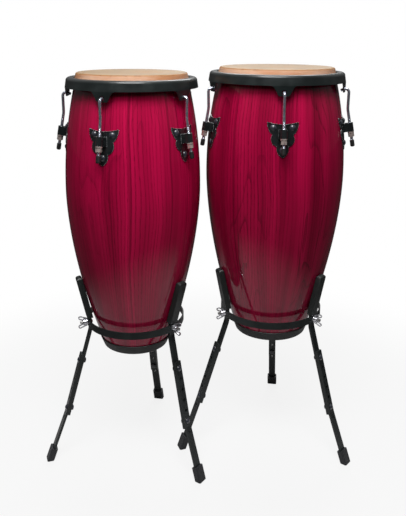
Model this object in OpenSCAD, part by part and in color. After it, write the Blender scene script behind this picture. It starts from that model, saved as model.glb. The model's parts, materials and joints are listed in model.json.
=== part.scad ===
// A pair of conga drums, each standing in its own three-legged cradle stand.
// The floor is z = 0, +Z is up and -Y is the front. The origin is the middle of the pair's footprint.
// The left drum is the 11 inch quinto and the right one the 11 3/4 inch conga.
// An azimuth is an angle about a drum's own axis, from the front (-Y), positive towards +X.

/* [Layout] */
// X of the quinto's axis
quinto_x = -168; // [-210:1:-164]
// Y of the quinto's axis
quinto_y = -74; // [-120:1:0]
// X of the conga's axis
conga_x = 196.5; // [192:0.5:240]
// Y of the conga's axis
conga_y = -4; // [-40:1:60]

/* [Drum shells] */
// Height of a drum from the bottom of its base ring to the top of its head
drum_h = 711; // [700:1:720]
// Widest diameter of the quinto's shell
quinto_belly_d = 339.4; // [336:0.2:342]
// Widest diameter of the conga's shell
conga_belly_d = 358.6; // [356:0.2:360]
// Height of the quinto's widest point above its bottom
quinto_belly_z = 425; // [410:1:440]
// Height of the conga's widest point above its bottom
conga_belly_z = 440; // [425:1:450]
// Diameter of the quinto's shell at its head
quinto_top_d = 268.4; // [266:0.2:271]
// Diameter of the conga's shell at its head
conga_top_d = 288; // [286:0.2:290]
// Diameter of the quinto's shell at its bottom
quinto_base_d = 162; // [158:1:164]
// Diameter of the conga's shell at its bottom
conga_base_d = 184; // [180:1:186]
// Thickness of the wooden wall, level
wall = 11; // [9:0.5:13]
// Height of the rubber ring round the bottom
base_ring_h = 24; // [14:1:28]

/* [Heads and rims] */
// Thickness of the skin
skin_t = 1.9; // [1.5:0.1:1.9]
// Diameter of the steel flesh hoop's wire
hoop_d = 7; // [6:0.5:7]
// Outer radius of the quinto's rim at its lower edge
quinto_rim_r = 163.8; // [162:0.2:166]
// Outer radius of the conga's rim at its lower edge
conga_rim_r = 175.2; // [173:0.2:177]
// Height of the rim's top above the drum's bottom
rim_top_z = 699.5; // [695:0.5:701]
// Height of the rim's lower edge above the drum's bottom
rim_low_z = 675; // [672:0.5:676]
// Thickness of the rim's steel
rim_t = 3; // [2.5:0.1:3]

/* [Tuning hardware] */
// Azimuth of the quinto's first lug
quinto_lug_turn = -18.8; // [-22:0.1:-16]
// Azimuth of the conga's first lug
conga_lug_turn = -0.1; // [-3:0.1:3]
// Diameter of the hook's rod
rod_d = 7; // [6.5:0.1:7.5]
// Angle between the threaded end of the hook and the vertical
rod_tilt = 10; // [9:0.5:11]
// Height above the drum's bottom of the point on the rod that the tuning hardware is placed from
bracket_z = 560; // [555:1:565]
// Height of the bracket along the rod
bracket_h = 22; // [18:1:24]
// Thickness of a side plate
plate_t = 2.2; // [1.5:0.1:3]
// Diameter of a side plate's dome-headed bolts
plate_bolt_d = 6; // [5:0.5:6]
// Width across the flats of a tuning nut
lug_nut_af = 13; // [12:0.5:14]

/* [Stands] */
// Height of the quinto's bottom above the floor
quinto_z = 303.8; // [300:0.2:308]
// Height of the conga's bottom above the floor
conga_z = 315.4; // [312:0.2:320]
// Azimuth of the first leg of the quinto's stand
quinto_leg_turn = -71; // [-80:1:-60]
// Azimuth of the first leg of the conga's stand
conga_leg_turn = -69; // [-78:1:-60]
// Outer radius of the quinto stand's ring
quinto_band_r = 127.5; // [126:0.5:130]
// Outer radius of the conga stand's ring
conga_band_r = 136; // [133:0.5:137]
// Height of a ring's middle above the floor
band_z = 374; // [370:1:380]
// Height of the ring's band
band_h = 18; // [16:1:20]
// Thickness of the ring's band
band_t = 3; // [2.5:0.5:4]
// Width of a leg's flat bar
bar_w = 20; // [18:0.5:22]
// Thickness of a leg's flat bar
bar_t = 6; // [5:0.5:7]
// Angle between the upper leg and the vertical on the quinto's stand
quinto_splay = 15; // [14:0.1:17]
// Angle between the upper leg and the vertical on the conga's stand
conga_splay = 17; // [15.5:0.1:18]
// Distance of the quinto's feet from its stand's axis
quinto_foot_r = 235; // [228:1:242]
// Distance of the conga's feet from its stand's axis
conga_foot_r = 254; // [246:1:260]
// Distance between the height holes of a leg
hole_pitch = 27; // [26:0.5:27]
// Diameter of the height holes
hole_d = 8.5; // [8.5:0.1:9]
// Length of the rubber sleeve on a cradle arm
sleeve_l = 117; // [110:1:120]
// Width of a sleeve
sleeve_w = 27; // [24:0.5:28]
// Thickness of a sleeve, radially
sleeve_t = 15; // [13:0.5:16]
// Length of a rubber foot along its leg
foot_l = 34; // [30:1:44]
// Width of a rubber foot
foot_w = 28; // [26:0.5:32]
// Thickness of a rubber foot, radially
foot_t = 17; // [14:0.5:20]

/* [Hidden] */
$fn = 64;
UNITS = ["quinto", "conga"];
LUGS = 5;
LEGS = 3;
DRUM_PARTS = ["shell", "head", "flesh_hoop", "rim", "base_ring", "side_plates", "plate_bolts",
    "plate_nuts", "hooks", "hook_tips"];
STAND_PARTS = ["stand_ring", "arm_sleeves", "feet", "leg_bolts", "leg_nuts", "wing_bolts"];

// The two units' own dimensions, as [quinto, conga]
at_x = [quinto_x, conga_x];
at_y = [quinto_y, conga_y];
base_z = [quinto_z, conga_z];
belly_r = [quinto_belly_d, conga_belly_d] / 2;
belly_z = [quinto_belly_z, conga_belly_z];
top_r = [quinto_top_d, conga_top_d] / 2;
base_r = [quinto_base_d, conga_base_d] / 2;
rim_r = [quinto_rim_r, conga_rim_r];
lug_turn = [quinto_lug_turn, conga_lug_turn];
leg_turn = [quinto_leg_turn * [1, 1, 1] + [0, 125.5, 240], conga_leg_turn * [1, 1, 1] + [0, 120.2, 240]];
band_r = [quinto_band_r, conga_band_r];
// A leg can swing about its wing bolt. The quinto's second one has swung a little.
leg_swing = [[0, -4.4, 0], [0, 0, 0]];
// The legs were bent by hand, so the three of a stand are a little unequal
splay = [quinto_splay * [1, 1, 1] + [0.6, 0, -0.2], conga_splay * [1, 1, 1] + [1.6, -1.2, 0.2]];
foot_r = [quinto_foot_r * [1, 1, 1] + [2, 0, -2], conga_foot_r * [1, 1, 1] + [5, -6, 0]];

// The shell's outline swells and closes by these powers of the height from its widest point
upper_pow = 2.05;
lower_pow = 1.75;
shell_low_z = 3;
shell_high_z = drum_h - skin_t - 0.2;
profile_step = 28;
gap = 0.2;          // between pieces that lie against each other
run = 0.05;         // radial clearance of a nut on its rod

// Outer radius of a shell at a height above its bottom, and its slope there
function shell_r(d, z) = z > belly_z[d]
    ? belly_r[d] - (belly_r[d] - top_r[d]) * pow((z - belly_z[d]) / (drum_h - belly_z[d]), upper_pow)
    : belly_r[d] - (belly_r[d] - base_r[d]) * pow((belly_z[d] - z) / belly_z[d], lower_pow);
function shell_slope(d, z) = atan((shell_r(d, z + 1) - shell_r(d, z - 1)) / 2);
// Outline points along the shell, moved out level by "out"
function along_shell(d, z0, z1, out) = let (n = ceil(abs(z1 - z0) / profile_step))
    [for (i = [0:n]) let (z = z0 + (z1 - z0) * i / n) [shell_r(d, z) + out, z]];
function reversed(list) = [for (i = [len(list) - 1:-1:0]) list[i]];
// Points on an arc about c
function arc(c, r, a0, a1, n = 6) =
    [for (i = [0:n]) let (a = a0 + (a1 - a0) * i / n) c + r * [cos(a), sin(a)]];

// Tuning hardware, in the plane of a lug
rod_r = rod_d / 2;
rod_out = 17.1;           // from the rim's lower edge out to the rod, at the bracket
rod_below = 41.6;         // rod below its placing point
bracket_lift = 4.5;       // bracket's middle above that point
rod_straight = 87.3;      // threaded and plain straight end, up to the first bend
shank_l = 36.4;           // upright part between the bends
shank_lean = 1;
hook_bend_r = 8.5;
hook_drop = 22;           // the hooked end slopes down by this angle
hook_end_l = 9;
ear_hole_r = 6;
ear_low_z = 651;
ear_hole_z = 659.5;
tip_r = 5.5;
tip_top = -28.5;          // along the rod, from its placing point
tip_low = -45.5;
plate_low_z = 506;
plate_high_z = 590;
plate_bolt_spots = [[-22.6, 577], [22.6, 577], [0, 524]];   // [sideways, height]
plate_nut_af = 10;

// Head
crown_r = 6;
hoop_z = 682;
function hoop_centre(d) = shell_r(d, hoop_z) + 0.35 + hoop_d / 2 + 0.1 + skin_t;

// Stand, in the plane of a leg: x is the distance from the stand's axis
band_in = [band_r[0] - band_t, band_r[1] - band_t];
function bar_x(d) = sqrt(pow(band_in[d], 2) - pow(bar_w / 2, 2)) - run - bar_t / 2;
arm_z = band_z + 11;      // where the bar leans out into the cradle arm
knee_z = band_z - 22;     // where it leans out into the leg
bar_bend_r = 40;
sleeve_contact = 9;       // the shell rests this far below the sleeve's top
stack = bar_t + 0.1;      // from the upper bar's middle to the lower bar's
bolt_s = [86, 86 + 5 * hole_pitch];   // bolts' distances from the knee, along the leg
bar_end = 18;             // bar beyond its last bolt
bend_s = 236;             // where the lower bar bends
contact_z = arm_z + (sleeve_l - sleeve_contact) * 0.98;
function arm_lean(d) = let (reach = shell_r(d, contact_z - base_z[d]) + 0.5 + sleeve_t / 2)
    atan((reach - bar_x(d)) / (contact_z - arm_z));
function down(a) = [sin(a), -cos(a)];
function outward(a) = [cos(a), sin(a)];
function knee(d) = [bar_x(d), knee_z];
function leg_point(d, i, s, off = 0) = knee(d) + s * down(splay[d][i]) + off * outward(splay[d][i]);
// The lower bar's lean below its bend
function foot_lean(d, i) = let (b = leg_point(d, i, bend_s, stack)) atan((foot_r[d][i] - b[0]) / b[1]);
bar_above_floor = 9;
m8_r = 3.9;
leg_nut_af = 13;

// Puts a piece in a drum's frame: +X points out from the axis at the azimuth, z is from the drum's bottom
module on_drum(d, azimuth) {
    translate([at_x[d], at_y[d], base_z[d]]) rotate([0, 0, azimuth - 90]) children();
}
module at_lug(d, i) {
    on_drum(d, lug_turn[d] + i * 360 / LUGS) children();
}
// On the shell's surface, "side" millimetres to one side: +X is the surface's outward normal
module on_shell(d, z, side) {
    rotate([0, 0, asin(side / shell_r(d, z))]) translate([shell_r(d, z), 0, z])
        rotate([0, shell_slope(d, z), 0]) children();
}
// On the rod at its placing point: +Z runs up the rod
module on_rod(d) {
    translate([rim_r[d] + rod_out, 0, bracket_z]) rotate([0, -rod_tilt, 0]) children();
}
module at_leg(d, i) {
    translate([at_x[d], at_y[d], band_z]) rotate([0, 0, leg_turn[d][i] - 90])
        rotate([leg_swing[d][i], 0, 0]) translate([0, 0, -band_z]) children();
}
// An outline drawn as [sideways, height], pushed out from x = r0 to x = r1
module radial_extrude(r0, r1) {
    translate([r0, 0, 0]) rotate([90, 0, 90]) linear_extrude(r1 - r0) children();
}
// An outline drawn as [x, height], as wide as w
module upright_extrude(w) {
    rotate([90, 0, 0]) linear_extrude(w, center = true) children();
}
// Turns a piece made along +Z to point along +X
module along_x(x) {
    translate([x, 0, 0]) rotate([0, 90, 0]) children();
}
module hex(af, h) {
    cylinder(h = h, r = af / 2 / cos(30), $fn = 6);
}
module hex_nut(af, h, bore_r) {
    difference() {
        intersection() {
            hex(af, h);
            cylinder(h = h, r1 = af / 2 * 0.97, r2 = af / 2 * 0.97 + h * 1.6);
        }
        translate([0, 0, -1]) cylinder(h = h + 2, r = bore_r);
    }
}
// A low dome on z = 0 with a shank below it
module dome_bolt(head_r, head_h, shank_r, shank_l) {
    ball_r = (pow(head_r, 2) + pow(head_h, 2)) / 2 / head_h;
    intersection() {
        translate([0, 0, head_h - ball_r]) sphere(ball_r);
        cylinder(h = head_h + 1, r = head_r + 1);
    }
    translate([0, 0, -shank_l]) cylinder(h = shank_l + 0.5, r = shank_r);
}
// A round rod up from the origin. A step is [straight length, bend, bend radius], and a bend is towards -X.
// The straight lengths run a little way into the bends, which are a hair thinner.
module rod_path(steps, r, i = 0) {
    lap = 0.2;
    start = i == 0 ? 0 : lap;
    last = i == len(steps) - 1;
    length = steps[i][0];
    turn = steps[i][1];
    bend_r = steps[i][2];
    side = turn > 0 ? -1 : 1;
    translate([0, 0, -start]) cylinder(h = start + length + (last ? 0 : lap), r = r);
    if (!last) translate([0, 0, length]) {
        mirror([side > 0 ? 1 : 0, 0, 0]) translate([-bend_r, 0, 0]) rotate([90, 0, 0])
            rotate_extrude(angle = abs(turn)) translate([bend_r, 0]) circle(r - 0.02);
        translate([side * bend_r * (1 - cos(turn)), 0, bend_r * sin(abs(turn))])
            rotate([0, -turn, 0]) rod_path(steps, r, i + 1);
    }
}

// ---- Drum ----

module shell(d) {
    top = shell_high_z;
    outside = concat(along_shell(d, shell_low_z, top - 6, 0),
        [[shell_r(d, top - 2) - 1.4, top - 2], [shell_r(d, top) - 4.5, top]]);
    inside = along_shell(d, top - 6, shell_low_z, -wall);
    color([0.62, 0.02, 0.2]) difference() {
        translate([at_x[d], at_y[d], base_z[d]]) rotate_extrude($fn = 128)
            polygon(concat(outside, [[shell_r(d, top) - 8.5, top]], inside));
        for (i = [0:LUGS - 1], s = plate_bolt_spots) at_lug(d, i) on_shell(d, s[1], s[0])
            along_x(-wall - 6) cylinder(h = wall + 12, r = plate_bolt_d / 2 + 0.3);
    }
}

module head(d) {
    z = drum_h - crown_r;
    edge_r = shell_r(d, z) + gap + skin_t;
    collar_low = hoop_z;
    centre = [hoop_centre(d), hoop_z];
    crown = arc([edge_r - crown_r, z], crown_r, 15, 90);
    outside = concat(along_shell(d, collar_low, z, gap + skin_t), crown);
    under = [[0, drum_h], [0, drum_h - skin_t], [shell_r(d, drum_h) - 3.9, drum_h - skin_t]];
    inside = concat([[shell_r(d, z + 2) - 1, z + 2.6]], along_shell(d, z - 1, collar_low, gap));
    color([0.85, 0.72, 0.58]) translate([at_x[d], at_y[d], base_z[d]]) rotate_extrude($fn = 128) {
        polygon(concat(outside, under, inside));
        difference() {
            translate(centre) circle(hoop_d / 2 + 0.1 + skin_t);
            translate(centre) circle(hoop_d / 2 + 0.1);
        }
    }
}

module flesh_hoop(d) {
    color([0.55, 0.55, 0.56]) translate([at_x[d], at_y[d], base_z[d]])
        rotate_extrude($fn = 128) translate([hoop_centre(d), hoop_z]) circle(hoop_d / 2);
}

module ear_outline() {
    half = [[34, rim_low_z + 6], [30, rim_low_z], [25.5, rim_low_z - 2.2], [22, rim_low_z - 6.5],
        [14.2, ear_low_z + 2.6], [11.5, ear_low_z]];
    polygon(concat(half, [for (p = reversed(half)) [-p[0], p[1]]]));
}

module rim(d) {
    r = rim_r[d];
    in_r = hoop_centre(d) - 4.2;
    press_z = hoop_z + hoop_d / 2 + 0.1 + skin_t + gap;
    flare = 2.6;          // the skirt is this much wider at its lower edge
    round_r = 8;
    corner = [r - flare - round_r, rim_top_z - round_r];
    color([0.08, 0.09, 0.1]) difference() {
        union() {
            on_drum(d, lug_turn[d]) rotate_extrude($fn = 128) polygon(concat(
                [[r, rim_low_z]], arc(corner, round_r, 0, 90),
                [[in_r + 1, rim_top_z], [in_r, rim_top_z - 1], [in_r, press_z], [in_r + rim_t, press_z]],
                [[in_r + rim_t, rim_top_z - rim_t]], arc(corner, round_r - rim_t, 90, 0, 3),
                [[r - rim_t, rim_low_z]]));
            for (i = [0:LUGS - 1]) at_lug(d, i) intersection() {
                rotate([0, 0, -14]) rotate_extrude(angle = 28, $fn = 128) polygon([
                    [r - 1, ear_low_z - 2], [r - 0.02, rim_low_z - 0.3], [r - 1.2, rim_low_z + 4],
                    [r - rim_t - 0.2, rim_low_z + 4], [r - rim_t + 0.02, rim_low_z - 0.3],
                    [r - rim_t - 1, ear_low_z - 2]]);
                radial_extrude(r - 20, r + 10) ear_outline();
            }
        }
        for (i = [0:LUGS - 1]) at_lug(d, i) translate([0, 0, ear_hole_z])
            along_x(r - 20) cylinder(h = 40, r = ear_hole_r);
    }
}

module base_ring(d) {
    in_r = base_r[d] - wall + 1;
    color([0.07, 0.07, 0.07]) translate([at_x[d], at_y[d], base_z[d]]) rotate_extrude($fn = 128)
        polygon([[in_r, 0], [base_r[d] + 1.5, 0], [base_r[d] + 3, 1.5],
            [shell_r(d, base_ring_h) + 3, base_ring_h - 1.5], [shell_r(d, base_ring_h) + 1.8, base_ring_h],
            [shell_r(d, base_ring_h) + gap, base_ring_h],
            [shell_r(d, shell_low_z) + gap, shell_low_z - 0.1],
            [in_r, shell_low_z - 0.1]]);
}

// The side plate's outline: two pointed wings, two round lobes and a pointed tail
module plate_outline() {
    wing = [[0, plate_high_z - 5.3], [22, plate_high_z - 3.3], [36, plate_high_z], [37.5, plate_high_z - 1],
        [37, plate_high_z - 8], [34, plate_high_z - 18], [29, plate_high_z - 25.5],
        [25.5, plate_high_z - 29], [0, plate_high_z - 50]];
    lobe_r = 17.2;
    tail_r = 24;
    tail_off = 9.6;
    tail_z = plate_low_z + sqrt(pow(tail_r, 2) - pow(tail_off, 2));
    for (s = [0, 1]) mirror([s, 0]) {
        polygon(wing);
        translate([10.8, plate_high_z - 40]) circle(lobe_r);
    }
    intersection() {
        translate([-tail_off, tail_z]) circle(tail_r);
        translate([tail_off, tail_z]) circle(tail_r);
        translate([-tail_r, plate_low_z - 5]) square([2 * tail_r, tail_r + 18]);
    }
}

// Everything outside the shell between two distances from it, in front of a lug
module shell_zone(d, out0, out1) {
    low = plate_low_z - 6;
    high = plate_high_z + 6;
    half_angle = 18;
    rotate([0, 0, -half_angle]) rotate_extrude(angle = 2 * half_angle, $fn = 128)
        polygon(concat(along_shell(d, low, high, out0), along_shell(d, high, low, out1)));
}

module bracket_plan() {
    foot = 20;
    difference() {
        union() {
            circle(8.2);
            polygon([[-foot, -11], [-13, -10.5], [-8, -8.2], [0, -8.2], [0, 8.2], [-8, 8.2], [-13, 10.5],
                [-foot, 11]]);
        }
        circle(rod_r + 0.8);
    }
}

module side_plates(d) {
    color([0.09, 0.1, 0.1]) for (i = [0:LUGS - 1]) at_lug(d, i) difference() {
        union() {
            intersection() {
                shell_zone(d, gap, gap + plate_t);
                radial_extrude(belly_r[d] - 60, belly_r[d] + 60) plate_outline();
            }
            intersection() {
                shell_zone(d, gap + plate_t / 2, 60);
                on_rod(d) translate([0, 0, bracket_lift - bracket_h / 2])
                    linear_extrude(bracket_h) bracket_plan();
            }
        }
        for (s = plate_bolt_spots) on_shell(d, s[1], s[0])
            along_x(-6) cylinder(h = 16, r = plate_bolt_d / 2 + 0.2);
    }
}

module plate_bolts(d) {
    seat = gap + plate_t + run;
    color([0.12, 0.12, 0.13]) for (i = [0:LUGS - 1], s = plate_bolt_spots) at_lug(d, i)
        on_shell(d, s[1], s[0]) along_x(seat) dome_bolt(7.6, 4.3, plate_bolt_d / 2, seat + wall + 7);
}

module plate_nuts(d) {
    color([0.7, 0.7, 0.7]) for (i = [0:LUGS - 1], s = plate_bolt_spots) at_lug(d, i)
        on_shell(d, s[1], s[0]) along_x(-wall - 0.35 - 5)
            hex_nut(plate_nut_af, 5, plate_bolt_d / 2 + run);
}

module hooks(d) {
    color([0.85, 0.85, 0.87]) for (i = [0:LUGS - 1]) at_lug(d, i) on_rod(d)
        translate([0, 0, -rod_below]) rod_path([
            [rod_straight, -(rod_tilt + shank_lean), 50],
            [shank_l, 90 + hook_drop + shank_lean, hook_bend_r],
            [hook_end_l, 0, 0]], rod_r);
}

module hook_tips(d) {
    deep = tip_top + rod_below;
    color([0.06, 0.06, 0.06]) for (i = [0:LUGS - 1]) at_lug(d, i) on_rod(d) translate([0, 0, tip_low])
        rotate_extrude() polygon(concat([[0, 0]], arc([tip_r - 3.5, 3.5], 3.5, -90, 0),
            [[tip_r, tip_top - tip_low - 0.8], [tip_r - 0.8, tip_top - tip_low]],
            [[rod_r + run, tip_top - tip_low], [rod_r + run, tip_top - tip_low - deep - run],
                [0, tip_top - tip_low - deep - run]]));
}

module tuning_nut(d, i) {
    washer_h = 3;
    nut_h = 10.5;
    under = bracket_lift - bracket_h / 2 - 0.1;
    color([0.72, 0.66, 0.6]) at_lug(d, i) on_rod(d) {
        difference() {
            translate([0, 0, under - washer_h]) cylinder(h = washer_h, r = 7.9);
            translate([0, 0, under - washer_h - 1]) cylinder(h = washer_h + 2, r = rod_r + run);
        }
        translate([0, 0, under - washer_h - nut_h]) hex_nut(lug_nut_af, nut_h, rod_r + run);
    }
}

// ---- Stand ----

// Where a corner of a bar's route is rounded
function corner_arc(a, b, c, r) = let (
    u = (a - b) / norm(a - b), v = (c - b) / norm(c - b), half = acos(u * v) / 2,
    m = (u + v) / norm(u + v), centre = b + m * r / sin(half),
    start = b + u * r / tan(half) - centre, turn = 180 - 2 * half,
    side = u[0] * v[1] - u[1] * v[0] > 0 ? -1 : 1, a0 = atan2(start[1], start[0]))
    arc(centre, r, a0, a0 + side * turn);
// The outline of a flat bar seen on edge, along a route of points
function bar_outline(route) = let (
    n = len(route) - 1,
    sides = [for (i = [0:n]) let (
        t = route[min(i + 1, n)] - route[max(i - 1, 0)], u = t / norm(t)) [-u[1], u[0]] * bar_t / 2])
    concat([for (i = [0:n]) route[i] + sides[i]], [for (i = [n:-1:0]) route[i] - sides[i]]);

module stand_ring(d) {
    color([0.08, 0.09, 0.09]) difference() {
        translate([at_x[d], at_y[d], band_z - band_h / 2]) difference() {
            cylinder(h = band_h, r = band_r[d], $fn = 128);
            translate([0, 0, -1]) cylinder(h = band_h + 2, r = band_in[d], $fn = 128);
        }
        for (i = [0:LEGS - 1]) at_leg(d, i) translate([band_in[d] - 5, 0, band_z])
            rotate([0, 90, 0]) cylinder(h = 15, r = hole_d / 2);
    }
}

// On the upper bar's middle line, "s" along it from the knee: +X points out through the two bars
module on_leg(d, i, s) {
    p = leg_point(d, i, s);
    translate([p[0], 0, p[1]]) rotate([0, -splay[d][i], 0]) children();
}
module leg_holes(d, i, count) {
    for (n = [0:count - 1]) on_leg(d, i, bolt_s[0] + n * hole_pitch)
        along_x(-bar_t) cylinder(h = 3 * bar_t, r = hole_d / 2);
}

module upper_leg(d, i) {
    lean = arm_lean(d);
    arm = [bar_x(d), arm_z];
    top = arm + (sleeve_l - 5) * [sin(lean), cos(lean)];
    foot = leg_point(d, i, bolt_s[1] + bar_end);
    color([0.08, 0.09, 0.09]) at_leg(d, i) difference() {
        upright_extrude(bar_w) polygon(bar_outline(concat(
            [top], corner_arc(top, arm, knee(d), bar_bend_r),
            corner_arc(arm, knee(d), foot, bar_bend_r), [foot])));
        leg_holes(d, i, 6);
        translate([bar_x(d) - bar_t, 0, band_z]) rotate([0, 90, 0]) cylinder(h = 2 * bar_t, r = hole_d / 2);
    }
}

module lower_leg(d, i) {
    top = leg_point(d, i, bolt_s[0] - bar_end, stack);
    bend = leg_point(d, i, bend_s, stack);
    foot = [foot_r[d][i], 0] - bar_above_floor * down(foot_lean(d, i));
    color([0.08, 0.09, 0.09]) at_leg(d, i) difference() {
        upright_extrude(bar_w)
            polygon(bar_outline(concat([top], corner_arc(top, bend, foot, 2 * bar_bend_r), [foot])));
        leg_holes(d, i, 7);
    }
}

module arm_sleeves(d) {
    r = sleeve_t / 2;
    side_r = 8;
    half = sleeve_w / 2;
    slot = 0.15;
    color([0.06, 0.06, 0.06]) for (i = [0:LEGS - 1]) at_leg(d, i)
        translate([bar_x(d), 0, arm_z]) rotate([0, arm_lean(d), 0]) difference() {
            intersection() {
                upright_extrude(sleeve_w + 2)
                    polygon(concat([[-r, 2], [r, 2]], arc([0, sleeve_l - r], r, 0, 180, 10)));
                radial_extrude(-r - 1, r + 1) polygon(concat([[-half, 0], [half, 0]],
                    arc([half - side_r, sleeve_l - side_r], side_r, 0, 90),
                    arc([side_r - half, sleeve_l - side_r], side_r, 90, 180)));
            }
            translate([-bar_t / 2 - slot, -bar_w / 2 - slot, -1])
                cube([bar_t + 2 * slot, bar_w + 2 * slot, sleeve_l - 5 + 1 + slot]);
        }
}

module feet(d) {
    slot = 0.15;
    r = 4;
    a = foot_t / 2 - r;
    b = foot_w / 2 - r;
    reach = foot_r[d][0] + 60;
    color([0.05, 0.05, 0.05]) for (i = [0:LEGS - 1]) intersection() {
        at_leg(d, i) translate([foot_r[d][i], 0, 0]) rotate([0, -foot_lean(d, i), 0]) difference() {
            translate([0, 0, -10]) linear_extrude(foot_l + 10) polygon(concat(
                arc([a, b], r, 0, 90, 4), arc([-a, b], r, 90, 180, 4),
                arc([-a, -b], r, 180, 270, 4), arc([a, -b], r, 270, 360, 4)));
            translate([-bar_t / 2 - slot, -bar_w / 2 - slot, bar_above_floor - slot])
                cube([bar_t + 2 * slot, bar_w + 2 * slot, foot_l]);
        }
        translate([at_x[d] - reach, at_y[d] - reach, 0]) cube([2 * reach, 2 * reach, foot_l + 20]);
    }
}

module leg_bolts(d) {
    face = stack + bar_t / 2 + run;
    color([0.1, 0.1, 0.11]) for (i = [0:LEGS - 1], s = bolt_s) at_leg(d, i) on_leg(d, i, s)
        along_x(face) dome_bolt(7.5, 4.2, m8_r, face + bar_t / 2 + 6);
}

module leg_nuts(d) {
    nut_h = 5;
    color([0.1, 0.1, 0.11]) for (i = [0:LEGS - 1], s = bolt_s) at_leg(d, i) on_leg(d, i, s)
        along_x(-bar_t / 2 - run - nut_h) hex_nut(leg_nut_af, nut_h, m8_r + run);
}

module wing_bolts(d) {
    shank = band_r[d] - bar_x(d) + bar_t / 2 + 19;
    color([0.8, 0.8, 0.82]) for (i = [0:LEGS - 1]) at_leg(d, i)
        translate([bar_x(d) - bar_t / 2 - run, 0, band_z]) rotate([0, -90, 0]) dome_bolt(7, 4, m8_r, shank);
}

module wing_nut(d, i) {
    hub_h = 11;
    wing_l = 23;
    wing_w = 9.6;
    wing_t = 3;
    flare = 21;
    color([0.82, 0.82, 0.84]) at_leg(d, i) translate([band_r[d] + 0.1, 0, band_z])
            rotate([0, 90, 0]) difference() {
        union() {
            cylinder(h = hub_h, r1 = 7.5, r2 = 5.8);
            for (s = [0, 1]) mirror([s, 0, 0]) translate([5.4, 0, 2]) rotate([0, flare, 0])
                rotate([90, 0, 0]) linear_extrude(wing_t, center = true) difference() {
                    union() {
                        translate([-wing_w / 2, 0]) square([wing_w, wing_l - wing_w / 2]);
                        translate([0, wing_l - wing_w / 2]) circle(wing_w / 2);
                    }
                    translate([0, wing_l - wing_w / 2]) circle(wing_w / 2 - 2.5);
                    translate([2.5 - wing_w / 2, 9]) square([wing_w - 5, wing_l - wing_w / 2 - 9]);
                }
        }
        translate([0, 0, -1]) cylinder(h = hub_h + 20, r = m8_r + run);
    }
}

for (d = [0, 1]) {
    shell(d);
    head(d);
    flesh_hoop(d);
    rim(d);
    base_ring(d);
    side_plates(d);
    plate_bolts(d);
    plate_nuts(d);
    hooks(d);
    hook_tips(d);
    stand_ring(d);
    arm_sleeves(d);
    feet(d);
    leg_bolts(d);
    leg_nuts(d);
    wing_bolts(d);
    for (i = [0:LUGS - 1])
        tuning_nut(d, i);
    for (i = [0:LEGS - 1]) {
        upper_leg(d, i);
        lower_leg(d, i);
        wing_nut(d, i);
    }
}
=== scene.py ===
"""A pair of conga drums on cradle stands: their materials, finer pieces, light and camera."""
import json
import math

import bmesh
import bpy
from mathutils import Euler, Matrix, Vector


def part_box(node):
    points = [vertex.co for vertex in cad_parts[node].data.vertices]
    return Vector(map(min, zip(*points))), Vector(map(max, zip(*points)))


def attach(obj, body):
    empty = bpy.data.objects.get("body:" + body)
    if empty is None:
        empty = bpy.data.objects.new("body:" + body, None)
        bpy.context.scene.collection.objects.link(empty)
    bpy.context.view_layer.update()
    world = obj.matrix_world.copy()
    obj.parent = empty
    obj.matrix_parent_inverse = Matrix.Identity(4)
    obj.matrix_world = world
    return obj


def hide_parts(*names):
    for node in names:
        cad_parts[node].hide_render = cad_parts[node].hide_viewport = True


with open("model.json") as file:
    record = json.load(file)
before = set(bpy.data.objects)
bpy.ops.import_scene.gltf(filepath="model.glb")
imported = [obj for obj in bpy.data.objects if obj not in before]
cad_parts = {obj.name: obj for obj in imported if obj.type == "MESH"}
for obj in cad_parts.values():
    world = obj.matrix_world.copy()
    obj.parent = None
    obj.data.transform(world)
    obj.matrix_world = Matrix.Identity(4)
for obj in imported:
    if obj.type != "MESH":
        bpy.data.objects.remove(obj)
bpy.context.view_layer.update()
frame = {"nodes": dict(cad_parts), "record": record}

MM = 0.001
UNITS = ("quinto", "conga")
LUGS = 5

# The drums' outline law: the shell swells and closes by a power of the height from its widest point.
DRUM_H = 711 * MM
BELLY_Z = {"quinto": 425 * MM, "conga": 440 * MM}
TOP_R = {"quinto": 134.2 * MM, "conga": 144 * MM}
BASE_R = {"quinto": 81 * MM, "conga": 92 * MM}
UPPER_POWER = 2.05
LOWER_POWER = 1.75
WALL = 11 * MM
SKIN_T = 1.9 * MM

# Tuning hardware, as in the frame
FIRST_LUG = {"quinto": -18.8, "conga": -0.1}
ROD_TILT = 10
ROD_OUT = 17.1 * MM
ROD_R = 3.5 * MM
BRACKET_Z = 560 * MM


# ---- Places, read from the frame ----

class Drum:
    """Where a drum stands: its axis, its bottom and its widest radius."""
    def __init__(self, unit):
        low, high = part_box(f"{unit}_shell")
        self.unit = unit
        self.x = (low.x + high.x) / 2
        self.y = (low.y + high.y) / 2
        self.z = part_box(f"{unit}_base_ring")[0].z
        self.belly_r = (high.x - low.x) / 2
        rim_low, rim_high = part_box(f"{unit}_rim")
        self.rim_r = (rim_high.x - rim_low.x) / 2

    def radius(self, z):
        """Outer radius of the shell at a height above the drum's bottom."""
        unit = self.unit
        belly_z = BELLY_Z[unit]
        if z > belly_z:
            part = (z - belly_z) / (DRUM_H - belly_z)
            return self.belly_r - (self.belly_r - TOP_R[unit]) * part ** UPPER_POWER
        part = (belly_z - z) / belly_z
        return self.belly_r - (self.belly_r - BASE_R[unit]) * part ** LOWER_POWER

    def lug_frame(self, index):
        """Matrix of the rod at its bracket: +Z runs up the rod and +X points away from the drum."""
        azimuth = math.radians(FIRST_LUG[self.unit] + index * 360 / LUGS - 90)
        turn = Matrix.Rotation(azimuth, 4, "Z")
        out = Matrix.Translation((self.rim_r + ROD_OUT, 0, BRACKET_Z))
        lean = Matrix.Rotation(math.radians(-ROD_TILT), 4, "Y")
        return Matrix.Translation((self.x, self.y, self.z)) @ turn @ out @ lean


# ---- Materials ----

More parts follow.
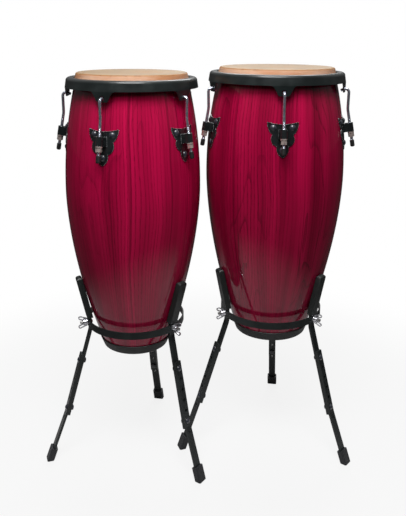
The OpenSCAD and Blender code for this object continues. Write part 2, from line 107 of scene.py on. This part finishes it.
def linear(red, green, blue):
    """Screen colour values, 0 to 255, as a linear colour."""
    def channel(value):
        value /= 255
        return value / 12.92 if value <= 0.04045 else ((value + 0.055) / 1.055) ** 2.4
    return (channel(red), channel(green), channel(blue), 1)


class Look:
    """A procedural material: one Principled shader and the nodes that feed it. The textures' scales are
    blotches per metre."""
    def __init__(self, name, **values):
        self.material = bpy.data.materials.new(name)
        self.material.use_nodes = True
        self.tree = self.material.node_tree
        self.shader = self.tree.nodes["Principled BSDF"]
        for key, value in values.items():
            self.shader.inputs[key.replace("_", " ").title().replace("Ior", "IOR")].default_value = value

    def node(self, kind, inputs=(), **settings):
        """A new node with its settings, and its inputs by index or name."""
        node = self.tree.nodes.new(kind)
        for key, value in settings.items():
            setattr(node, key, value)
        for index, value in dict(inputs).items():
            self.feed(node.inputs[index], value)
        return node

    def feed(self, socket, value):
        """Links a socket to another node's output, or sets its value."""
        if isinstance(value, bpy.types.NodeSocket):
            self.tree.links.new(value, socket)
        else:
            socket.default_value = value

    def set(self, key, value):
        self.feed(self.shader.inputs[key], value)

    def math(self, operation, a, b=0.0):
        return self.node("ShaderNodeMath", {0: a, 1: b}, operation=operation).outputs[0]

    def scaled(self, vector, x, y, z, shift=0.0):
        """The vector times (x, y, z), moved off the origin so that two textures differ."""
        size = self.node("ShaderNodeVectorMath", {0: vector, 1: (x, y, z)}, operation="MULTIPLY")
        off = (shift, shift, shift)
        return self.node("ShaderNodeVectorMath", {0: size.outputs[0], 1: off}, operation="ADD").outputs[0]

    def noise(self, vector, detail=3.0, roughness=0.5):
        inputs = {"Vector": vector, "Scale": 1.0, "Detail": detail, "Roughness": roughness}
        return self.node("ShaderNodeTexNoise", inputs).outputs[0]

    def remap(self, value, low, high, to_low=0.0, to_high=1.0):
        """A smooth step from to_low at low to to_high at high."""
        inputs = {"Value": value, "From Min": low, "From Max": high, "To Min": to_low, "To Max": to_high}
        return self.node("ShaderNodeMapRange", inputs, interpolation_type="SMOOTHSTEP").outputs[0]

    def mix(self, factor, a, b):
        return self.node("ShaderNodeMix", {0: factor, 6: a, 7: b}, data_type="RGBA").outputs[2]

    def position(self):
        """The point's place in the row frame."""
        return self.node("ShaderNodeTexCoord").outputs["Object"]

    def bump(self, height, distance):
        inputs = {"Height": height, "Distance": distance, "Strength": 1.0}
        self.set("Normal", self.node("ShaderNodeBump", inputs).outputs[0])


def stained_wood(name, seed, figure, depth):
    """Glossy red-stained ash: dark open grain along the staves, with arched figure. The depth scales how
    light the stain is, and the figure how strong the arches are."""
    lines_per_metre = 230.0
    line_wander = 7.0
    line_strength = 0.85
    long_line_strength = 0.5
    arch_levels = 17.0
    pore_depth = 0.02 * MM
    light = (0.52 * depth, 0.0038 * depth, 0.062 * depth, 1)
    middle = (0.27 * depth, 0.0012 * depth, 0.03 * depth, 1)
    dark = (0.10 * depth, 0.0006 * depth, 0.012 * depth, 1)

    look = Look(name, roughness=0.6, coat_weight=1.0, coat_roughness=0.05, coat_ior=1.5)
    look.set("Specular IOR Level", 0.05)
    uv = look.node("ShaderNodeUVMap", uv_map="grain").outputs[0]

    # Slow sideways wander of the grain
    wander = look.noise(look.scaled(uv, 6.0, 3.0, 1.0, seed), 2.0)
    wander = look.math("MULTIPLY", look.math("SUBTRACT", wander, 0.5), 0.03)
    offset = look.node("ShaderNodeCombineXYZ", {0: wander}).outputs[0]
    bent = look.node("ShaderNodeVectorMath", {0: uv, 1: offset}, operation="ADD").outputs[0]

    def streaks(across, along, shift, detail=3.0, roughness=0.5, source=bent):
        """Noise stretched along the staves, given as blotches per metre across and along them."""
        return look.noise(look.scaled(source, across, along, 1.0, seed + shift), detail, roughness)

    broad = look.remap(streaks(22.0, 0.9, 61, 3.0, 0.55), 0.3, 0.7)
    fine = streaks(620.0, 6.0, 23, 3.0, 0.6)
    pores = look.remap(streaks(1500.0, 60.0, 31, 1.0), 0.45, 0.62)

    # Growth lines: an uneven comb of thin dark lines, broken up by the open pores and fainter in patches
    across = look.node("ShaderNodeSeparateXYZ", {0: bent}).outputs[0]
    drift = look.math("MULTIPLY", streaks(16.0, 0.8, 11, 3.0, 0.6), line_wander)
    comb = look.math("ADD", look.math("MULTIPLY", across, lines_per_metre), drift)
    comb = look.remap(look.math("PINGPONG", comb, 1.0), 0.5, 1.0)
    comb = look.math("MULTIPLY", comb, look.remap(pores, 0.0, 1.0, 0.35, 1.0))
    faint = look.remap(streaks(9.0, 0.7, 5, 2.0), 0.35, 0.65, 0.25, 1.0)
    comb = look.math("MULTIPLY", comb, faint)
    long_lines = look.remap(streaks(85.0, 0.6, 83, 2.0), 0.62, 0.68)

    # Arched figure: level lines of a slow, stretched field, in patches
    rings = look.math("FRACT", look.math("MULTIPLY", streaks(9.0, 1.5, 47, 2.0, 0.45), arch_levels))
    patch = look.remap(streaks(5.0, 1.6, 71, 1.0, source=uv), 0.42, 0.6)
    arches = look.math("MULTIPLY", look.remap(rings, 0.72, 1.0), look.remap(fine, 0.32, 0.6))
    arches = look.math("MULTIPLY", arches, patch)

    colour = look.mix(broad, middle, light)
    for lines, strength in ((comb, line_strength), (long_lines, long_line_strength), (arches, figure)):
        colour = look.mix(look.math("MULTIPLY", lines, strength), colour, dark)
    look.set("Base Color", colour)
    relief = look.math("ADD", look.math("MULTIPLY", pores, -0.5), look.math("MULTIPLY", fine, 0.3))
    look.bump(relief, pore_depth)
    return look.material


def bare_wood(name):
    """The unfinished inside of the shell and its edges."""
    look = Look(name, roughness=0.7)
    uv = look.node("ShaderNodeUVMap", uv_map="grain").outputs[0]
    streaks = look.noise(look.scaled(uv, 150.0, 3.0, 1.0, 3.0), 4.0, 0.6)
    dark, pale = linear(176, 132, 88), linear(205, 166, 120)
    look.set("Base Color", look.mix(look.remap(streaks, 0.3, 0.7), dark, pale))
    look.bump(streaks, 0.2 * MM)
    return look.material


def animal_skin(name, crown_z, seed):
    """A hide drum head: pale tan on top, warmer and mottled down the collar, with a brown crown line."""
    sway = 1.5 * MM
    line_low, line_full = 4.2 * MM, 2.2 * MM
    line_fade, line_top = 0.9 * MM, 0.1 * MM

    look = Look(name, roughness=0.52)
    look.set("Specular IOR Level", 0.3)
    look.set("Subsurface Weight", 0.1)
    look.set("Subsurface Radius", (0.004, 0.0018, 0.0009))
    look.set("Subsurface Scale", 1.0)
    place = look.position()
    height = look.node("ShaderNodeSeparateXYZ", {0: place}).outputs[2]
    cloud = look.noise(look.scaled(place, 9.0, 9.0, 22.0, seed), 4.0, 0.55)
    freckles = look.noise(look.scaled(place, 160.0, 160.0, 260.0, seed + 4), 3.0, 0.6)

    # The top and the collar, which meet just below the crown
    top = look.mix(look.remap(cloud, 0.3, 0.7), linear(156, 135, 107), linear(140, 116, 88))
    collar = look.mix(look.remap(cloud, 0.32, 0.68), linear(204, 164, 138), linear(182, 128, 92))
    down = look.math("ADD", height, look.math("MULTIPLY", look.math("SUBTRACT", cloud, 0.5), sway))
    colour = look.mix(look.remap(down, crown_z - 2.6 * MM, crown_z - 1 * MM), collar, top)

    # The line at the crown, with darker marks in it
    rise = look.remap(down, crown_z - line_low, crown_z - line_full)
    fall = look.remap(down, crown_z - line_top, crown_z - line_fade)
    edge = look.math("MULTIPLY", rise, fall)
    colour = look.mix(look.math("MULTIPLY", edge, 0.85), colour, linear(150, 104, 60))
    marks = look.noise(look.scaled(place, 60.0, 60.0, 20.0, seed + 9), 3.0, 0.7)
    marks = look.math("MULTIPLY", look.remap(marks, 0.55, 0.66), edge)
    colour = look.mix(look.math("MULTIPLY", marks, 0.7), colour, linear(120, 76, 42))

    colour = look.mix(look.remap(freckles, 0.58, 0.72, 0.0, 0.14), colour, linear(150, 108, 76))
    look.set("Base Color", colour)
    relief = look.math("ADD", look.math("MULTIPLY", cloud, 0.8), look.math("MULTIPLY", freckles, 0.25))
    look.bump(relief, 0.5 * MM)
    return look.material


def coated_metal(name, shade, roughness, coat=0.0):
    """Black paint or powder coat, with a faint orange-peel surface and uneven gloss."""
    look = Look(name, coat_weight=coat, coat_roughness=0.12)
    place = look.position()
    peel = look.noise(look.scaled(place, 900.0, 900.0, 900.0, 2.0), 2.0)
    worn = look.noise(look.scaled(place, 22.0, 22.0, 22.0, 7.0), 3.0, 0.6)
    red, green, blue = shade
    pale = linear(red + 9, green + 10, blue + 10)
    look.set("Base Color", look.mix(look.remap(worn, 0.35, 0.7), linear(*shade), pale))
    look.set("Roughness", look.remap(worn, 0.3, 0.7, roughness - 0.05, roughness + 0.08))
    look.bump(peel, 0.05 * MM)
    return look.material


def bare_metal(name, shade, roughness, ripple=0.0, metallic=1.0):
    """Plated metal with slight smears in its gloss. The ripple is the unevenness of polished bent rod."""
    look = Look(name, metallic=metallic)
    place = look.position()
    smear = look.noise(look.scaled(place, 60.0, 60.0, 60.0, 5.0), 4.0, 0.6)
    red, green, blue = shade
    dull = linear(red * 0.8, green * 0.79, blue * 0.8)
    look.set("Base Color", look.mix(look.remap(smear, 0.45, 0.75), linear(*shade), dull))
    look.set("Roughness", look.remap(smear, 0.3, 0.75, roughness, roughness + 0.1))
    if ripple:
        look.bump(look.noise(look.scaled(place, 210.0, 210.0, 120.0, 3.0), 2.0), ripple)
    return look.material


def rubber(name, shade, roughness):
    """Moulded rubber: fine texture and slight bloom."""
    look = Look(name)
    place = look.position()
    grain = look.noise(look.scaled(place, 1400.0, 1400.0, 1400.0, 1.0), 2.0)
    bloom = look.noise(look.scaled(place, 30.0, 30.0, 12.0, 9.0), 3.0, 0.6)
    red, green, blue = shade
    pale = linear(red + 12, green + 12, blue + 12)
    look.set("Base Color", look.mix(look.remap(bloom, 0.35, 0.75), linear(*shade), pale))
    look.set("Roughness", look.remap(bloom, 0.3, 0.7, roughness - 0.04, roughness + 0.08))
    look.bump(grain, 0.08 * MM)
    return look.material


# ---- Mesh helpers ----

def finished(name, mesh, material, body, replaced=(), smooth_angle=40):
    """Makes the object, gives it its material and puts it on its body."""
    piece = bpy.data.objects.new(name, mesh)
    bpy.context.scene.collection.objects.link(piece)
    mesh.materials.append(material)
    for polygon in mesh.polygons:
        polygon.use_smooth = True
    mesh.set_sharp_from_angle(angle=math.radians(smooth_angle))
    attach(piece, body)
    if replaced:
        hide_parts(*replaced)
    return piece


def lathe_mesh(name, drum, outline, segments, closed=True, swell=None):
    """Turns an outline of (radius, height above the drum's bottom) about the drum's axis. A point on the
    axis becomes a pole, and swell(angle, height) adds to the radius. The "grain" UVs are metres round the
    belly and metres up."""
    mesh = bpy.data.meshes.new(name)
    bm = bmesh.new()
    layer = bm.loops.layers.uv.new("grain")
    rows = []
    for radius, height in outline:
        if radius <= 0:
            rows.append([bm.verts.new((drum.x, drum.y, drum.z + height))])
            continue
        row = []
        for step in range(segments):
            angle = 2 * math.pi * step / segments
            far = radius + (swell(angle, height) if swell else 0)
            spot = (drum.x + far * math.sin(angle), drum.y + far * math.cos(angle), drum.z + height)
            row.append(bm.verts.new(spot))
        rows.append(row)
    pairs = list(zip(rows, rows[1:] + rows[:1])) if closed else list(zip(rows, rows[1:]))
    for low, high in pairs:
        for step in range(segments):
            after = (step + 1) % segments
            near_low, near_high = low[step % len(low)], high[step % len(high)]
            corners = [near_low, low[after % len(low)], high[after % len(high)], near_high]
            unique = [v for i, v in enumerate(corners) if v not in corners[:i]]
            if len(unique) < 3:
                continue
            face = bm.faces.new(unique)
            for loop in face.loops:
                turn = step if loop.vert in (near_low, near_high) else step + 1
                loop[layer].uv = (2 * math.pi * turn / segments * drum.belly_r, loop.vert.co.z - drum.z)
    bmesh.ops.recalc_face_normals(bm, faces=bm.faces)
    bm.to_mesh(mesh)
    bm.free()
    return mesh


def rounded(centre_r, centre_z, size, start, end, steps):
    """Outline points round a corner, angles in degrees from +radius towards +height."""
    points = []
    for step in range(steps + 1):
        angle = math.radians(start + (end - start) * step / steps)
        points.append((centre_r + size * math.cos(angle), centre_z + size * math.sin(angle)))
    return points


def soften(node, width, edge_look=None):
    """Rounds a CAD node's edges by modifiers, and may give the rounded edges a look of their own."""
    same_spot = 0.01 * MM
    flat_angle = math.radians(0.5)
    edge_angle = math.radians(35)
    piece = frame["nodes"][node]
    edge_material = -1
    if edge_look:
        edge_material = len(piece.data.materials)
        piece.data.materials.append(edge_look)
    weld = piece.modifiers.new("weld", "WELD")
    weld.merge_threshold = same_spot
    flat = piece.modifiers.new("flat", "DECIMATE")
    flat.decimate_type = "DISSOLVE"
    flat.angle_limit = flat_angle
    edge = piece.modifiers.new("edge", "BEVEL")
    edge.width = width
    edge.segments = 2
    edge.limit_method = "ANGLE"
    edge.angle_limit = edge_angle
    edge.material = edge_material
    normals = piece.modifiers.new("normals", "WEIGHTED_NORMAL")
    normals.keep_sharp = False
    for polygon in piece.data.polygons:
        polygon.use_smooth = True


def paint(node, material):
    """Gives a CAD node its material."""
    piece = frame["nodes"][node]
    piece.data.materials.clear()
    piece.data.materials.append(material)


# ---- Pieces ----

def make_shell(drum, outside, inside):
    """The wooden shell: a smooth tapered barrel, rounded at its lower edge and under the skin."""
    low = 3 * MM
    high = DRUM_H - SKIN_T - 0.2 * MM
    low_round = 2 * MM
    outer_rows = 90
    inner_rows = 40
    outer_span = high - 10 * MM - low
    inner_top = high - 6 * MM
    outer_z = [low + low_round + outer_span * i / outer_rows for i in range(outer_rows + 1)]
    inner_z = [inner_top - (inner_top - low) * i / inner_rows for i in range(inner_rows + 1)]
    outline = [(drum.radius(low + low_round) - low_round, low)]
    outline += [(drum.radius(z), z) for z in outer_z]
    outline += [(drum.radius(high - 3 * MM) - 0.9 * MM, high - 3 * MM)]
    outline += [(drum.radius(high) - 4.5 * MM, high), (drum.radius(high) - 8.5 * MM, high)]
    outline += [(drum.radius(z) - WALL, z) for z in inner_z]
    name = f"{drum.unit}_shell_staves"
    mesh = lathe_mesh(name, drum, outline, 224)
    finished(name, mesh, outside, f"{drum.unit}_drum", [f"{drum.unit}_shell"])
    mesh.materials.append(inside)
    axis = Vector((drum.x, drum.y, 0))
    for polygon in mesh.polygons:
        spot = polygon.center - axis
        if math.hypot(spot.x, spot.y) < drum.radius(polygon.center.z - drum.z) - WALL / 2:
            polygon.material_index = 1


def make_head(drum, material):
    """The skin: a nearly flat top, a soft crown, a collar and the roll round the flesh hoop."""
    crown_r = 6 * MM
    crown_z = DRUM_H - crown_r
    gap = 0.2 * MM
    edge_r = drum.radius(crown_z) + gap + SKIN_T
    hoop_z = 682 * MM
    hoop_thick = 3.6 * MM
    hoop_r = drum.radius(hoop_z) + 0.35 * MM + hoop_thick + SKIN_T
    roll = 5.4 * MM
    collar_step = 2.6 * MM
    top = [(0, DRUM_H - 0.35 * MM), (30 * MM, DRUM_H - 0.33 * MM), (70 * MM, DRUM_H - 0.25 * MM),
           (edge_r - 24 * MM, DRUM_H - 0.12 * MM), (edge_r - 13 * MM, DRUM_H - 0.03 * MM)]
    crown = rounded(edge_r - crown_r, crown_z, crown_r, 90, 12, 12)
    collar_z = [crown_z - 2 * MM - i * collar_step for i in range(6)]
    collar = [(drum.radius(z) + gap + SKIN_T, z) for z in collar_z]
    wrap = rounded(hoop_r, hoop_z, roll, 110, -90, 14)
    under_r = drum.radius(hoop_z) + 0.3 * MM
    under = [(under_r, hoop_z - roll * 0.8), (under_r, hoop_z + 2 * MM)]
    back = [(drum.radius(z) + 0.25 * MM, z) for z in (hoop_z + 8 * MM, crown_z - 2 * MM)]
    back += [(edge_r - SKIN_T - 3.4 * MM, DRUM_H - SKIN_T - 1.2 * MM), (0, DRUM_H - SKIN_T - 0.3 * MM)]

    def unevenness(angle, height):
        """The hide isn't even: the crown draws in a little here and there."""
        near_crown = max(0.0, 1 - abs(height - crown_z) / (14 * MM))
        wave = math.sin(5 * angle + 0.7) + 0.6 * math.sin(11 * angle + 2.1) + 0.4 * math.sin(23 * angle)
        return -0.16 * MM * (1 + wave / 2) * near_crown

    name = f"{drum.unit}_skin"
    outline = top + crown + collar + wrap + under + back
    mesh = lathe_mesh(name, drum, outline, 192, closed=False, swell=unevenness)
    finished(name, mesh, material, f"{drum.unit}_drum", [f"{drum.unit}_head"])


def make_threads(drum, material):
    """The rolled thread on the lower part of every hook."""
    pitch = 1.25 * MM
    low = -30.5 * MM
    high = 33 * MM
    around = 20
    per_turn = 4
    depth = 0.32 * MM
    rows = int((high - low) / pitch * per_turn)
    for index in range(LUGS):
        place = drum.lug_frame(index)
        mesh = bpy.data.meshes.new(f"{drum.unit}_hook_thread_{index + 1}")
        bm = bmesh.new()
        grid = []
        for row in range(rows + 1):
            z = low + row * pitch / per_turn
            ring = []
            for step in range(around):
                turn = step / around
                phase = (z / pitch - turn) % 1
                ridge = 1 - abs(2 * phase - 1)
                radius = ROD_R + 0.02 * MM + depth * ridge
                angle = 2 * math.pi * turn
                spot = Vector((radius * math.cos(angle), radius * math.sin(angle), z))
                ring.append(bm.verts.new(place @ spot))
            grid.append(ring)
        for lower, upper in zip(grid, grid[1:]):
            for step in range(around):
                after = (step + 1) % around
                bm.faces.new((lower[step], lower[after], upper[after], upper[step]))
        bm.faces.new(list(reversed(grid[0])))
        bm.faces.new(grid[-1])
        bm.to_mesh(mesh)
        bm.free()
        finished(mesh.name, mesh, material, f"{drum.unit}_drum", smooth_angle=70)


# ---- Build ----

looks = {
    "black_rim": coated_metal("black_rim", (22, 27, 27), 0.36, coat=0.35),
    "black_plate": coated_metal("black_plate", (22, 25, 26), 0.28, coat=0.4),
    "black_stand": coated_metal("black_stand", (24, 28, 28), 0.36),
    "black_bolt": coated_metal("black_bolt", (40, 42, 50), 0.3, coat=1.0),
    "zinc_steel": bare_metal("zinc_steel", (190, 190, 188), 0.3),
    "hoop_steel": bare_metal("hoop_steel", (165, 165, 165), 0.35),
    "hook_chrome": bare_metal("hook_chrome", (222, 228, 244), 0.15, ripple=0.0018, metallic=0.9),
    "wing_chrome": bare_metal("wing_chrome", (236, 236, 242), 0.14, ripple=0.001, metallic=0.85),
    "nut_nickel": bare_metal("nut_nickel", (250, 230, 222), 0.2, ripple=0.0008, metallic=0.75),
    "black_rubber": rubber("black_rubber", (22, 23, 23), 0.5),
    "sleeve_rubber": rubber("sleeve_rubber", (30, 34, 33), 0.42),
    "foot_rubber": rubber("foot_rubber", (34, 35, 38), 0.55),
}

slots = {entry["node"]: entry["material_slot"] for entry in frame["record"]["subparts"]}
for node, slot in slots.items():
    if slot in looks:
        paint(node, looks[slot])

# How far the edges of each kind of CAD node are rounded
EDGES = {
    "rim": 0.9 * MM, "base_ring": 0.5 * MM, "side_plates": 1.1 * MM, "plate_nuts": 0.3 * MM,
    "tuning_nut": 0.35 * MM, "stand_ring": 0.7 * MM, "upper_leg": 0.8 * MM, "lower_leg": 0.8 * MM,
    "leg_nuts": 0.3 * MM, "arm_sleeves": 2.2 * MM, "wing_nut": 0.7 * MM, "feet": 1.8 * MM,
}
# The side plates' rounded edges are painted pale grey: partly worn bare metal, partly a painted highlight
# along the bevel
edge_wear_and_highlight_looks = {"side_plates": bare_metal("worn_and_highlight_edge", (228, 232, 235), 0.3, metallic=0.3)}
for node in frame["nodes"]:
    for kind, width in EDGES.items():
        if kind in node:
            soften(node, width, edge_wear_and_highlight_looks.get(kind))

# How strong each shell's arched figure is, how light its stain is, and which stretch of grain it shows
FIGURE = {"quinto": 0.45, "conga": 0.85}
DEPTH = {"quinto": 1.0, "conga": 0.86}
SEED = {"quinto": 12.0, "conga": 37.0}
for unit in UNITS:
    drum = Drum(unit)
    stained = stained_wood(f"{unit}_stained_wood", SEED[unit], FIGURE[unit], DEPTH[unit])
    make_shell(drum, stained, bare_wood(f"{unit}_bare_wood"))
    make_head(drum, animal_skin(f"{unit}_hide", drum.z + DRUM_H, SEED[unit]))
    make_threads(drum, looks["hook_chrome"])


# ---- Floor, light and camera ----

def make_floor():
    """A pale floor that runs out to white: near the drums it takes light and shadow as any floor does.
    Further out its own colour darkens to near black, a painted shade of an unlit room.
    """
    reach = 9
    white_near, white_far = 0.35, 1.25
    least_white = 0.85
    painted_shade_near, painted_shade_far = 0.45, 1.1
    mesh = bpy.data.meshes.new("floor")
    corners = [(-reach, -reach, 0), (reach, -reach, 0), (reach, reach, 0), (-reach, reach, 0)]
    mesh.from_pydata(corners, [], [(0, 1, 2, 3)])
    floor = bpy.data.objects.new("floor", mesh)
    floor.location.z = -0.5 * MM
    bpy.context.scene.collection.objects.link(floor)
    look = Look("floor", roughness=0.9)
    look.set("Specular IOR Level", 0.1)
    place = look.position()
    cloud = look.noise(look.scaled(place, 0.8, 0.8, 0.8, 1.0), 2.0)
    away = look.node("ShaderNodeVectorMath", {0: place}, operation="LENGTH").outputs["Value"]
    pale = look.mix(cloud, (0.48, 0.48, 0.48, 1), (0.51, 0.51, 0.51, 1))
    # From about half a metre out the floor's colour fades to near black: painted shade standing for an
    # unlit room beyond, which keeps the far floor dark in the drums' gloss
    look.set("Base Color", look.mix(look.remap(away, painted_shade_near, painted_shade_far), pale, (0.03, 0.03, 0.03, 1)))
    # The glow is only for the eye, so that the far floor doesn't show in the drums' gloss
    seen = look.node("ShaderNodeLightPath").outputs["Is Camera Ray"]
    white = look.node("ShaderNodeEmission", {"Color": (1, 1, 1, 1), "Strength": 1.0}).outputs[0]
    share = look.math("MULTIPLY", seen, look.remap(away, white_near, white_far, least_white, 1.0))
    both = look.node("ShaderNodeMixShader", {0: share, 1: look.shader.outputs[0], 2: white}).outputs[0]
    look.feed(look.tree.nodes["Material Output"].inputs[0], both)
    mesh.materials.append(look.material)


def make_light(name, place, target, size, power, glare=True):
    """A soft rectangle of light. Without glare it lights the drums but doesn't show in their gloss."""
    data = bpy.data.lights.new(name, "AREA")
    data.shape = "RECTANGLE"
    data.size, data.size_y = size
    data.energy = power
    light = bpy.data.objects.new(name, data)
    light.location = place
    light.visible_camera = False
    light.visible_glossy = glare
    light.rotation_euler = (Vector(target) - Vector(place)).to_track_quat("-Z", "Y").to_euler()
    bpy.context.scene.collection.objects.link(light)


def make_world():
    """A room that is dim in front of the drums, brighter behind them and brighter upwards. The backdrop
    itself is plain white."""
    front, behind = 0.032, 0.4
    world = bpy.data.worlds.new("studio")
    bpy.context.scene.world = world
    world.use_nodes = True
    tree = world.node_tree
    tree.nodes.clear()

    def ramp(value, low, high, to_low, to_high):
        node = tree.nodes.new("ShaderNodeMapRange")
        tree.links.new(value, node.inputs["Value"])
        limits = {"From Min": low, "From Max": high, "To Min": to_low, "To Max": to_high}
        for key, limit in limits.items():
            node.inputs[key].default_value = limit
        return node.outputs[0]

    def background():
        node = tree.nodes.new("ShaderNodeBackground")
        node.inputs["Color"].default_value = (1, 1, 1, 1)
        return node

    place = tree.nodes.new("ShaderNodeTexCoord")
    parts = tree.nodes.new("ShaderNodeSeparateXYZ")
    tree.links.new(place.outputs["Generated"], parts.inputs[0])
    level = ramp(parts.outputs[1], -0.85, 0.1, front, behind)
    height = ramp(parts.outputs[2], 0.0, 0.6, 0.1, 1.0)
    product = tree.nodes.new("ShaderNodeMath")
    product.operation = "MULTIPLY"
    tree.links.new(level, product.inputs[0])
    tree.links.new(height, product.inputs[1])
    room = background()
    tree.links.new(product.outputs[0], room.inputs["Strength"])
    white = background()
    white.inputs["Strength"].default_value = 1.0
    seen = tree.nodes.new("ShaderNodeLightPath")
    both = tree.nodes.new("ShaderNodeMixShader")
    tree.links.new(seen.outputs["Is Camera Ray"], both.inputs[0])
    tree.links.new(room.outputs[0], both.inputs[1])
    tree.links.new(white.outputs[0], both.inputs[2])
    output = tree.nodes.new("ShaderNodeOutputWorld")
    tree.links.new(both.outputs[0], output.inputs["Surface"])


def make_camera():
    """An eye a little over the drums' rims, looking down slightly from the front."""
    place = (0.0086, -1.7279, 1.1119)
    tilt_angle = math.radians(78.33)
    roll_angle = 0.0061
    data = bpy.data.cameras.new("camera")
    data.sensor_width = 36
    data.lens = 46.44
    data.shift_y = -0.1716
    camera = bpy.data.objects.new("camera", data)
    bpy.context.scene.collection.objects.link(camera)
    tilt = Euler((tilt_angle, 0, 0)).to_matrix().to_4x4()
    roll = Matrix.Rotation(roll_angle, 4, "Z")
    camera.matrix_world = Matrix.Translation(place) @ tilt @ roll
    bpy.context.scene.camera = camera


make_floor()
make_world()
make_light("key", (-0.1, -1.1, 2.6), (0, 0, 0.8), (1.3, 0.9), 53)
make_light("front", (-0.05, -0.85, 1.45), (0, 0, 0.9), (0.9, 0.3), 3.2, glare=False)
make_light("back", (0.3, 2.0, 2.6), (0, 0, 0.7), (1.6, 1.0), 34)
make_camera()
bpy.context.scene.view_settings.view_transform = "Standard"
